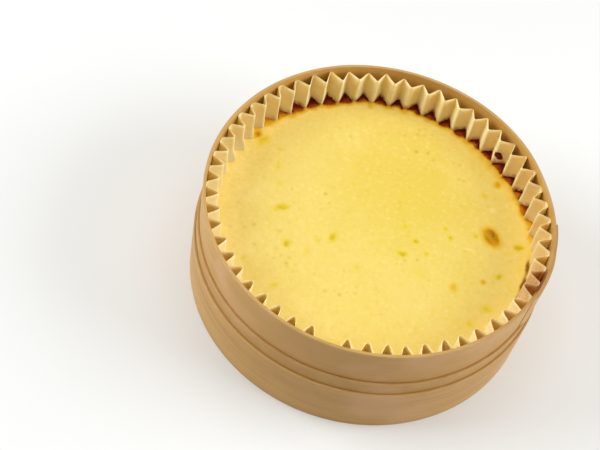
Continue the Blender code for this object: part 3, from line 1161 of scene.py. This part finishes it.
@dataclass
class BurntCrumbs:
    """Small dark lumps of batter burnt onto the paper in the flutes at the back."""

    cake: Cheesecake
    seed: int = 61
    most_in_flute: int = 9
    crusty: Ramp = Ramp(0.45, 1.0)
    sizes: tuple[float, float] = (0.20 * MM, 0.60 * MM)
    insets: tuple[float, float] = (0.2, 1.6)
    stretches: tuple[float, float] = (0.75, 1.3)
    brownings: tuple[float, float] = (0.72, 1.0)
    flatness: float = 0.65
    climb: float = 1.3 * MM
    spread: float = 0.62
    ragged: RandomField = RandomField(67, 0.7 * MM, 2)
    raggedness: float = 0.28
    charred_angle: float = math.radians(44.3)
    charred_radius: float = 72.7 * MM
    charred_height: float = 48.2 * MM
    charred_size: float = 2.0 * MM
    rows: int = 9
    columns: int = 14

    def lump(self) -> Array:
        """Points of a unit ball: half circles turned about the vertical, shape (rows, columns, 3)."""
        tilt = np.linspace(-math.pi / 2.0, math.pi / 2.0, self.rows)[:, None]
        turn = np.arange(self.columns + 1)[None, :] * FULL_TURN / self.columns
        return lifted(round_plan(np.cos(tilt), turn), np.sin(tilt))

    def places(self, draw: np.random.Generator) -> tuple[Array, Array]:
        """Middles and sizes of the lumps, more where the crust is stronger, and the charred one last.

        Args:
            draw: The seeded source of random numbers.

        Returns:
            Middles, shape (lumps, 3), and radii.
        """
        pleats = self.cake.pleats
        outward = np.arange(1, pleats.folds, 2)
        strength = self.cake.browned.strength(pleats.turn(outward))
        number = np.round(self.most_in_flute * self.crusty.at(strength)).astype(int)
        place = np.repeat(outward, number) + draw.uniform(-self.spread, self.spread, number.sum())
        size = draw.uniform(*self.sizes, len(place))
        inset = size * draw.uniform(*self.insets, len(place))
        edge = pleats.at(place)
        plan = edge * (1.0 - inset / from_axis(edge))[:, None]
        level = self.cake.height(plan, place, np.ones_like(place))
        up = self.climb * draw.uniform(0.0, 1.0, len(place)) ** 2 * pleats.outward(place)
        charred = [*round_plan(self.charred_radius, self.charred_angle), self.charred_height]
        middles = np.vstack([lifted(plan, level + up * (inset < size)), charred])
        return middles, np.append(size, self.charred_size)

    def build(self) -> bpy.types.Object:
        """All the lumps as one piece: each a ball, stretched, turned and made ragged.

        Returns:
            The finished object.
        """
        draw = np.random.default_rng(self.seed)
        middles, sizes = self.places(draw)
        stretch = draw.uniform(*self.stretches, (len(sizes), 3)) * np.array([1.0, 1.0, self.flatness])
        lumps = self.lump()[None] * (stretch * sizes[:, None])[:, None, None, :]
        turn = draw.uniform(0.0, FULL_TURN, len(sizes))[:, None, None]
        x = lumps[..., 0] * np.cos(turn) - lumps[..., 1] * np.sin(turn)
        y = lumps[..., 0] * np.sin(turn) + lumps[..., 1] * np.cos(turn)
        points = np.stack([x, y, lumps[..., 2]], axis=-1)
        middles = middles[:, None, None, :]
        points = points * (1.0 + self.raggedness * self.ragged.at(points + middles))[..., None] + middles
        browning = draw.uniform(*self.brownings, len(sizes))
        browning[-1] = 1.0
        shape = GridMesh("burnt_crumbs")
        for lump, brown in zip(points, browning):
            shape.add(lump, lump[..., :2], {"browning": np.full(lump.shape[:2], brown)}, ring=True)
        return shape.finish(self.cake.finish.material())


@dataclass
class PaperCase:
    """The fluted paper: a pleated wall on a flat bottom, thin, with creased folds."""

    pleats: Pleats
    browned: BrownedSide
    ring: RoundWander
    level: float = 3.85 * MM
    round_radius: float = 71.2 * MM
    cake_level: float = 41.5 * MM
    top: float = 57.4 * MM
    top_wander: float = 0.7 * MM
    top_phase: float = 1.3
    torn: RandomField = RandomField(73, 1.6 * MM, 2)
    torn_height: float = 0.12 * MM
    thickness: float = 0.18 * MM
    press: float = 0.70
    press_radius: float = 78.42 * MM
    press_rise: Ramp = Ramp(41.5 * MM, 49.5 * MM)
    fold_curve: float = 0.8
    curve_power: float = 1.5
    slack: Side = Side(78.0, 50.0, 1.0, 4)
    crinkle: float = 0.16 * MM
    crinkles: RandomField = RandomField(71, 6.5 * MM)
    crinkle_rise: Ramp = Ramp(41.5 * MM, 47.0 * MM)
    crease_highlight_half: float = 0.09
    top_edge_highlight: Ramp = Ramp(0.975, 1.0)
    streaks: RandomField = RandomField(79, 2.2 * MM)
    streak_stretch: Triple = (1.0, 1.0, 0.35)
    stain_rise: float = 0.6 * MM
    stain_streak: float = 2.0 * MM
    stain_flute: float = 1.0 * MM
    stain_fade: Ramp = Ramp(1.2 * MM, -1.6 * MM)
    scorch: Side = Side(-17.0, 7.0, 0.65, 4)
    scorch_streak: tuple[float, float] = (0.8, 0.8)
    scorch_rise: Ramp = Ramp(41.5 * MM, 52.0 * MM)
    # Where the paper is warmer and darker: round the right.
    toast: Side = Side(6.0, 48.0, 0.42)
    tint_streak: tuple[float, float] = (0.75, 0.5)
    wall_rows: int = 26
    flank_places: tuple[float, ...] = (
        0.0, 0.05, 0.12, 0.20, 0.30, 0.40, 0.50, 0.60, 0.70, 0.80, 0.88, 0.95,
    )
    slope_step: float = 0.05
    sharp_from: float = 70.0
    finish: PaperFinish = field(default_factory=PaperFinish)

    def wall(self, place: Array) -> Array:
        """The pleated wall: the rounded zigzag raised to an uneven top, with crinkles above the cake.

        Args:
            place: Places along the pleats, one for each column and the first again.

        Returns:
            Points, shape (rows, columns, 3).
        """
        ahead = self.pleats.rounded(place + self.slope_step) - self.pleats.rounded(place - self.slope_step)
        outwards = np.stack([ahead[:, 1], -ahead[:, 0]], axis=-1) / from_axis(ahead)[:, None]
        before = np.floor(place)
        lifts = [uneven((before + step) % self.pleats.folds, self.top_phase) for step in (0, 1)]
        top = self.top + self.top_wander * (lifts[0] + (lifts[1] - lifts[0]) * (place - before))
        height = self.level + (top - self.level) * np.linspace(0.0, 1.0, self.wall_rows)[:, None]
        points = lifted(self.pressed(self.pleats.rounded(place)[None], height), height)
        flutter = self.crinkle * self.crinkles.at(points) * self.crinkle_rise.at(height)
        points[..., :2] += flutter[..., None] * outwards
        points[-1, :, 2] += self.torn_height * self.torn.at(points[-1])
        points[:, -1] = points[:, 0]
        return points

    def pressed(self, plan: Array, height: Array) -> Array:
        """The folds above the cake pushed out until they lie flat against the wood, but slack behind.

        Over the cake a fold's distance out from the inner folds is made longer by the press and
        raised to a power, which rounds the inner folds, most at the front.

        Args:
            plan: Plan points of the zigzag.
            height: Heights that they are raised to.

        Returns:
            Plan points for each height.
        """
        radius = from_axis(plan)
        angle = np.arctan2(plan[..., 1], plan[..., 0])
        rise = self.press_rise.at(height)
        tight = rise * (1.0 - self.slack.at(angle))
        inner, depth = self.pleats.inner_fold, self.pleats.outer_fold - self.pleats.inner_fold
        out = (radius + self.pleats.shrink(angle) * tight - inner) / depth * (1.0 + self.press * tight)
        front = 0.5 - 0.5 * np.sin(angle)
        power = 1.0 + self.fold_curve * rise * front**self.curve_power
        wide = inner + depth * (np.maximum(out, 0.0) ** power + np.minimum(out, 0.0))
        return plan * (np.minimum(wide, self.press_radius + self.ring.at(angle)) / radius)[..., None]

    def marks(self, points: Array, place: Array) -> dict[str, Array]:
        """Point values of the wall: painted highlights on the folds and top edge, batter stains above the
        cake, scorch, and a warmer tint round the right.

        Args:
            points: The wall's points.
            place: The place of each column.

        Returns:
            Painted crease highlight, stain, and the warmer tint, each from 0 to 1.
        """
        share = np.linspace(0.0, 1.0, self.wall_rows)[:, None]
        # Painted highlight: a bell curve across each fold, and the top edge.
        crease = np.exp(-(((place - np.round(place)) / self.crease_highlight_half) ** 2)) + self.top_edge_highlight.at(share)
        angle = self.pleats.turn(place)
        height = points[..., 2]
        streak = self.streaks.at(points * np.array(self.streak_stretch))
        reach = self.cake_level + self.stain_rise + self.stain_streak * streak
        reach += self.stain_flute * self.pleats.outward(place)
        stain = self.stain_fade.at(height - reach) * self.browned.strength(angle)
        plain, more = self.scorch_streak
        scorched = self.scorch.at(angle) * (plain + more * streak) * self.scorch_rise.at(height)
        plain, more = self.tint_streak
        toast = self.toast.at(angle) * (plain + more * streak)
        found = {"crease": crease, "stain": np.maximum(stain, scorched), "toast": toast}
        return {name: np.clip(value, 0.0, 1.0) for name, value in found.items()}

    def build(self) -> bpy.types.Object:
        """The wall and the bottom as one sheet, thickened.

        Returns:
            The finished object.
        """
        flanks = np.arange(self.pleats.folds)[:, None] + np.array(self.flank_places)
        place = np.append(flanks.ravel(), self.pleats.folds)
        points = self.wall(place)
        uv = np.stack(np.broadcast_arrays(lengths_along(points[0, :, :2]), points[..., 2]), axis=-1)
        shape = GridMesh("paper_case_folded")
        shape.add(points, uv, self.marks(points, place), ring=True)
        rounded = round_plan(self.round_radius, self.pleats.turn(place))
        rounded[-1] = rounded[0]
        floor = np.stack([0.0 * rounded, 0.5 * rounded, rounded, points[0, :, :2]])
        shape.add(lifted(floor, self.level), floor, ring=True)
        piece = shape.finish(self.finish.material(), self.sharp_from)
        skin = piece.modifiers.new("thickness", "SOLIDIFY")
        skin.thickness = self.thickness
        skin.offset = 0.0
        return piece


@dataclass(frozen=True)
class Strip:
    """A veneer strip cut across: a tall thin rectangle with slightly rounded corners."""

    inner: float
    outer: float
    bottom: float
    top: float
    rounding: float = 0.22 * MM
    side_rows: int = 34
    corner_rows: int = 4
    edge_rows: int = 3
    # Painted highlight: how it fades below the strip's top.
    edge_highlight_fade: Ramp = Ramp(0.5 * MM, 0.1 * MM)

    def outline(self) -> Array:
        """Points (radius, height) round the cut, anticlockwise: four corner arcs joined by lines."""
        r = self.rounding
        outer, inner = self.outer - r, self.inner + r
        bottom, top = self.bottom + r, self.top - r
        sweep = np.linspace(0.0, math.pi / 2.0, self.corner_rows + 1)
        middles = ((outer, bottom), (outer, top), (inner, top), (inner, bottom))
        quarters = [sweep + (number - 1) * math.pi / 2.0 for number in range(4)]
        arcs = [np.array(middle) + round_plan(r, turn) for middle, turn in zip(middles, quarters)]
        rows = []
        for number, arc in enumerate(arcs):
            steps = self.edge_rows if number % 2 else self.side_rows
            rows += [arc, np.linspace(arc[-1], arcs[(number + 1) % 4][0], steps + 1)[1:-1]]
        return np.concatenate(rows)

    def along(self) -> Array:
        """Length round the cut at each point of the outline, and at the first one again."""
        outline = self.outline()
        return lengths_along(np.vstack([outline, outline[:1]]))

    def below_top(self) -> Array:
        """How far each point of the outline lies below the strip's top, as a column."""
        return self.top - self.outline()[:, 1:]


@dataclass
class Hoop:
    """A strip of veneer bent into a ring, slightly out of round, with an uneven upper edge."""

    name: str
    strip: Strip
    finish: VeneerFinish
    seam: float
    # How strong the painted highlight along the top edge is.
    edge_share: float = 1.0
    columns: int = 720
    sharp_from: float = 50.0
    top_power: int = 6
    out_of_round: RoundWander = RoundWander(0.14 * MM, (2, 3, 5), 1.1, Side(22.0, 11.5, 0.60 * MM))
    edge_wander: RoundWander = RoundWander(0.16 * MM, (3, 7, 13, 29), 0.4)
    # Painted shade: how much deeper the wood's tone is at the front, and how sharply it gathers there.
    painted_front_shade: float = 0.60
    front_power: int = 4

    def scorch(self, points: Array, angle: Array) -> Array:
        """How far the wood is scorched at each point: nowhere on a plain hoop."""
        return np.zeros(points.shape[:-1])

    def toast(self, points: Array) -> Array:
        """Painted warm shade at each point, in the tint colour: none on a plain hoop."""
        return np.zeros(points.shape[:-1])

    def shade(self, points: Array) -> Array:
        """Painted shade: the wood's tone made deeper towards the front, which faces away from the light, as
        a power of half of one less the sine.
        """
        front = 0.5 - 0.5 * np.sin(np.arctan2(points[..., 1], points[..., 0]))
        return self.painted_front_shade * front**self.front_power

    def build(self) -> bpy.types.Object:
        """The strip's outline carried round the mould, from its seam back to its seam.

        Returns:
            The finished object.
        """
        outline = self.strip.outline()
        angle = math.radians(self.seam) + np.arange(self.columns + 1) * FULL_TURN / self.columns
        share = np.clip(outline[:, 1:] / self.strip.top, 0.0, 1.0)
        height = outline[:, 1:] + self.edge_wander.at(angle) * share**self.top_power
        points = lifted(round_plan(outline[:, :1] + self.out_of_round.at(angle), angle), height)
        edge = self.edge_share * self.strip.edge_highlight_fade.at(self.strip.below_top())
        values = {
            "edge": np.broadcast_to(edge, height.shape),
            "scorch": self.scorch(points, angle),
            "toast": self.toast(points),
            "shade": self.shade(points),
        }
        uv = np.stack(np.meshgrid(angle * self.strip.outer, self.strip.along()), axis=-1)
        shape = GridMesh(self.name)
        shape.add(points, uv, values, ring=True, tube=True)
        return shape.finish(self.finish.material(), self.sharp_from)


@dataclass
class InnerHoop(Hoop):
    """The tall inner hoop, scorched inside near the rim at the right, with painted warm shade over its inner
    face.
    """

    patch: Side = Side(342.0, 7.0)
    patch_fade: Ramp = Ramp(1.3, 0.45)
    rim_fade: Ramp = Ramp(6.0, 2.0, 0.0, 0.28)
    inner_face: Ramp = Ramp(0.6 * MM, 0.1 * MM)
    burnt_face: Ramp = Ramp(1.4 * MM, 0.8 * MM, 0.0, 1.1)
    scorch_rise: Ramp = Ramp(43.0 * MM, 51.0 * MM)
    rim_rise: Ramp = Ramp(1.0 * MM, 0.0)
    ragged: RandomField = RandomField(83, 5.0 * MM)
    ragged_height: float = 4.0 * MM
    ragged_side: float = 0.4
    rim_plain: float = 0.85
    rim_ragged: float = 0.4
    painted_shade_face: Ramp = Ramp(0.5 * MM, 0.1 * MM, 0.0, 0.8)
    painted_shade_top: Ramp = Ramp(0.3 * MM, 1.2 * MM)

    def toast(self, points: Array) -> Array:
        """Painted warm shade on the inner face, in the tint colour: all of it, up to its rounded edge."""
        below = self.painted_shade_top.at(self.strip.top - points[..., 2])
        return self.painted_shade_face.at(from_axis(points) - self.strip.inner) * below

    def scorch(self, points: Array, angle: Array) -> Array:
        """A dark patch on the inner face and rim, and a faint browning of the rim beside it.

        Args:
            points: Points of the hoop.
            angle: The angle of each column.

        Returns:
            The scorch from 0 to 1.
        """
        away = np.abs(self.patch.away(angle))
        ragged = self.ragged.at(points)
        depth = from_axis(points) - self.strip.inner
        patch = self.patch_fade.at(away * (1.0 + self.ragged_side * ragged))
        face = self.inner_face.at(depth) * self.scorch_rise.at(points[..., 2] + self.ragged_height * ragged)
        rim = self.rim_rise.at(self.strip.top - points[..., 2])
        rim = rim * np.maximum(self.rim_fade.at(away), patch * self.burnt_face.at(depth))
        rim = rim * (self.rim_plain + self.rim_ragged * ragged)
        return np.clip(np.maximum(face * patch, rim), 0.0, 1.0)


@dataclass
class LowerHoop(Hoop):
    """The lowest hoop, with one soft darker band along it."""

    band_height: float = 20.5 * MM
    band_width: float = 3.0 * MM
    band_share: float = 0.22
    band_wander: float = 0.8 * MM
    wander: RandomField = RandomField(89, 14.0 * MM, 2)
    foot: Ramp = Ramp(14.0 * MM, 6.0 * MM, 0.0, 0.10)

    def shade(self, points: Array) -> Array:
        """How much deeper the tone is: a bell curve up the strip, and a slightly paler foot."""
        height = points[..., 2] + self.band_wander * self.wander.at(points)
        band = np.exp(-(((height - self.band_height) / self.band_width) ** 2))
        return self.band_share * band - self.foot.at(height)


@dataclass
class Lap:
    """The end of the inner veneer, wrapped once more over the outside of the rim."""

    ring: InnerHoop
    start: float = math.radians(-26.25)
    end: float = math.radians(6.2)
    taper: float = math.radians(4.0)
    thin_start: float = 0.25
    thinned: Ramp = Ramp(math.radians(-11.0), math.radians(-3.5), 1.0, 0.66)
    thickness: float = 1.30 * MM
    rounding: float = 0.2 * MM
    bite: float = 0.06 * MM
    bottom: float = 37.85 * MM
    drop: float = 0.2 * MM
    edge_wander: float = 0.5
    grain_shift: float = 80.0 * MM
    browned_edge: Ramp = Ramp(1.4 * MM, 0.2 * MM, 0.0, 0.30)
    shade: float = 0.04
    columns: int = 130
    side_rows: int = 22
    sharp_from: float = 40.0

    def build(self) -> bpy.types.Object:
        """The strip carried along its arc, thinned towards both ends and cut square at its end.

        The first and last columns stand where their neighbours do, with no thickness, so that
        they close the ends.

        Returns:
            The finished object.
        """
        hoop = self.ring.strip
        inner = hoop.outer - self.bite
        top = hoop.top - self.drop
        strip = Strip(inner, inner + self.thickness, self.bottom, top, self.rounding, self.side_rows)
        outline = strip.outline()
        angle = np.pad(np.linspace(self.start, self.end, self.columns), 1, mode="edge")
        scale = Ramp(self.start, self.start + self.taper, self.thin_start).at(angle) * self.thinned.at(angle)
        middle = np.full(angle.shape, inner)
        middle[[0, -1]] += 0.5 * self.thickness * scale[[0, -1]]
        scale[[0, -1]] = 0.0
        radius = middle + self.ring.out_of_round.at(angle) + (outline[:, :1] - inner) * scale
        height = outline[:, 1:] + self.edge_wander * self.ring.edge_wander.at(angle)
        below_top = strip.below_top()
        values = {
            # Painted highlight along the lap's top edge.
            "edge": np.broadcast_to(strip.edge_highlight_fade.at(below_top), height.shape),
            "scorch": np.broadcast_to(self.browned_edge.at(below_top), height.shape),
            "shade": np.full(height.shape, self.shade),
        }
        uv = np.stack(np.meshgrid(angle * strip.outer, strip.along() + self.grain_shift), axis=-1)
        shape = GridMesh("veneer_lap")
        shape.add(lifted(round_plan(radius, angle), height), uv, values, tube=True)
        return shape.finish(self.ring.finish.material(), self.sharp_from)


@dataclass
class MouldFloor:
    """The disc inside the foot of the inner hoop: a flat board with its edge eased."""

    radius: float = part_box("mould_floor")[1].x
    thickness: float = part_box("mould_floor")[1].z
    easing: float = 0.4 * MM
    easing_rows: int = 5
    ring_shares: tuple[float, ...] = (0.0, 0.35, 0.7)
    columns: int = 288
    finish: VeneerFinish = field(default_factory=lambda: VeneerFinish("floor_board"))

    def build(self) -> bpy.types.Object:
        """A profile from the middle of the underside, round the eased edge, to the middle on top.

        Returns:
            The finished object.
        """
        quarter = math.pi / 2.0
        turn = np.linspace(-quarter, 0.0, self.easing_rows)
        corner, up = self.radius - self.easing, self.thickness - self.easing
        low = np.array([corner, self.easing]) + round_plan(self.easing, turn)
        high = np.array([corner, up]) + round_plan(self.easing, turn + quarter)
        rings = self.radius * np.array(self.ring_shares)
        below = np.column_stack([rings, 0.0 * rings])
        above = np.column_stack([rings[::-1], np.full(len(rings), self.thickness)])
        outline = np.concatenate([below, low, high, above])
        plan = round_plan(outline[:, :1], np.arange(self.columns + 1) * FULL_TURN / self.columns)
        shape = GridMesh("mould_floor_board")
        shape.add(lifted(plan, outline[:, 1:]), plan, ring=True)
        return shape.finish(self.finish.material())


@dataclass
class Mould:
    """The round bentwood mould's hoops: a tall inner one and two lower ones. Seams are in degrees."""

    inner_veneer: float = 1.4 * MM
    band_gap: float = 0.05 * MM
    band_rounding: float = 0.18 * MM
    seams: Triple = (7.5, 96.0, 128.0)
    # How strong the painted highlight is along the middle band's top edge.
    middle_edge: float = 0.5
    middle_wander: RoundWander = RoundWander(0.34 * MM, (2, 5, 11, 23, 41), 1.9)
    # How strong the painted highlight is along the lower band's top edge.
    lower_edge: float = 0.6
    lower_wander: RoundWander = RoundWander(0.32 * MM, (2, 6, 13, 27, 43), 3.1)
    inner_finish: VeneerFinish = VeneerFinish("inner_veneer")
    band_finish: VeneerFinish = VeneerFinish(
        "band_veneer", light=linear(190, 148, 87), dark=linear(175, 132, 72), edge=linear(204, 162, 104)
    )

    def hoops(self) -> tuple[InnerHoop, Hoop, LowerHoop]:
        """The three hoops, each sized from its own node's box.

        Returns:
            The inner, the middle and the lower hoop.
        """
        rim, middle, lower = (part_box(node)[1] for node in ("inner_hoop", "middle_hoop", "lower_hoop"))
        rim_radius = -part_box("inner_hoop")[0].x
        strips = (
            Strip(rim_radius - self.inner_veneer, rim_radius, 0.0, rim.z),
            Strip(rim_radius + self.band_gap, middle.x, 0.0, middle.z, self.band_rounding),
            Strip(middle.x + self.band_gap, lower.x, 0.0, lower.z, self.band_rounding),
        )
        finish, seams = self.band_finish, self.seams
        middle_edge = {"edge_share": self.middle_edge, "edge_wander": self.middle_wander}
        lower_edge = {"edge_share": self.lower_edge, "edge_wander": self.lower_wander}
        return (
            InnerHoop("inner_hoop_wood", strips[0], self.inner_finish, seams[0]),
            Hoop("middle_hoop_wood", strips[1], finish, seams[1], **middle_edge),
            LowerHoop("lower_hoop_wood", strips[2], finish, seams[2], **lower_edge),
        )


@dataclass
class PhotoCamera:
    """The camera at the photo's angle: above the front, rolled to the right."""

    elevation: float = math.radians(54.676)
    roll: float = math.radians(13.131)
    place: Triple = (-0.0331, -0.3262, 0.4865)
    focal_length: float = 72.0
    sensor_width: float = 36.0
    clip_start: float = 0.01

    def build(self) -> None:
        """Sets the camera: it looks down by its elevation, and its sides turn by its roll."""
        across = np.array([1.0, 0.0, 0.0])
        up = np.array([0.0, math.sin(self.elevation), math.cos(self.elevation)])
        back = np.array([0.0, -math.cos(self.elevation), math.sin(self.elevation)])
        side = math.cos(self.roll) * across + math.sin(self.roll) * up
        rise = math.cos(self.roll) * up - math.sin(self.roll) * across
        turned = Matrix(np.stack([side, rise, back], axis=1).tolist()).to_4x4()
        lens = bpy.data.cameras.new("photo_camera")
        lens.lens = self.focal_length
        lens.sensor_width = self.sensor_width
        lens.clip_start = self.clip_start
        camera = bpy.data.objects.new("photo_camera", lens)
        camera.matrix_world = Matrix.Translation(self.place) @ turned
        bpy.context.scene.collection.objects.link(camera)
        bpy.context.scene.camera = camera


@dataclass(frozen=True)
class SoftLight:
    """A square studio light that faces the cake."""

    name: str
    place: Triple
    size: float
    power: float
    colour: Colour = (1.0, 1.0, 1.0)
    target: Triple = (0.0, 0.0, 0.03)

    def build(self) -> None:
        """Hangs the light at its place, turned towards the middle of the cake."""
        lamp = bpy.data.lights.new(self.name, "AREA")
        lamp.shape = "SQUARE"
        lamp.size = self.size
        lamp.energy = self.power
        lamp.color = self.colour
        light = bpy.data.objects.new(self.name, lamp)
        turn = (Vector(self.place) - Vector(self.target)).to_track_quat("Z", "Y").to_matrix().to_4x4()
        light.matrix_world = Matrix.Translation(self.place) @ turn
        bpy.context.scene.collection.objects.link(light)


@dataclass
class Studio:
    """A plain pale floor under soft white light that comes mostly from above and behind."""

    floor_size: float = 6.0
    floor_points: int = 9
    floor_colour: Colour = (0.82, 0.82, 0.82)
    floor_cloud: Colour = (0.78, 0.78, 0.78)
    cloud: Grain = Grain(0.4)
    cloud_share: Ramp = Ramp(0.3, 0.7, 0.0, 0.03)
    roughness: float = 0.85
    shine: float = 0.1
    sky_strength: float = 0.32
    sky_colour: Colour = (1.0, 0.92, 0.78)
    lights: tuple[SoftLight, ...] = (
        SoftLight("overhead", (0.0, 0.12, 1.10), 0.9, 3.75),
        SoftLight("left", (-1.0, 0.0, 0.55), 0.8, 11.6, (0.90, 0.96, 1.0)),
        SoftLight("right", (1.0, 0.0, 0.50), 0.8, 11.2, (0.92, 0.97, 1.0)),
    )

    def build(self) -> None:
        """Hangs the lights, sets the sky and how the picture shows light, and lays the floor."""
        for light in self.lights:
            light.build()
        world = bpy.data.worlds.new("white_room")
        world.use_nodes = True
        background = world.node_tree.nodes["Background"]
        background.inputs["Color"].default_value = (*self.sky_colour, 1.0)
        background.inputs["Strength"].default_value = self.sky_strength
        bpy.context.scene.world = world
        bpy.context.scene.view_settings.view_transform = "Standard"
        steps = np.linspace(-self.floor_size / 2.0, self.floor_size / 2.0, self.floor_points)
        plan = np.stack(np.meshgrid(steps, steps), axis=-1)
        shape = GridMesh("floor")
        shape.add(lifted(plan), plan)
        graph = Graph("pale_floor")
        cloud = graph.spread(graph.noise(graph.place(), self.cloud), self.cloud_share)
        colour = graph.layered(self.floor_colour, (cloud, self.floor_cloud))
        finish = graph.dress(base_color=colour, roughness=self.roughness, specular_ior_level=self.shine)
        floor = shape.finish(finish)


def hand_over(piece: bpy.types.Object, slot: str, *nodes: str) -> None:
    """Gives a finished piece to the frame and reports it.

    Args:
        piece: The object.
        slot: Not used.
        nodes: The nodes that it stands for.
    """
    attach(piece, BODY)
    if nodes:
        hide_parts(*nodes)
    log.info("%s: %d faces, stands for %s", piece.name, len(piece.data.polygons), nodes or "no node")


def main() -> None:
    """Builds the camera and the light, then the mould, the paper and the cake."""
    logging.basicConfig(level=logging.INFO, format="%(name)s: %(message)s")
    PhotoCamera().build()
    Studio().build()
    inner, middle, lower = Mould().hoops()
    hand_over(inner.build(), "veneer", "inner_hoop")
    hand_over(middle.build(), "band", "middle_hoop")
    hand_over(lower.build(), "band", "lower_hoop")
    hand_over(Lap(inner).build(), "veneer", "inner_hoop")
    hand_over(MouldFloor().build(), "veneer", "mould_floor")
    pleats, browned = Pleats(), BrownedSide()
    hand_over(PaperCase(pleats, browned, inner.out_of_round).build(), "paper", "paper_case")
    cake = Cheesecake(pleats, browned)
    hand_over(cake.build(), "cake", "cheesecake")
    hand_over(BurntCrumbs(cake).build(), "cake")


if __name__ == "__main__":
    main()
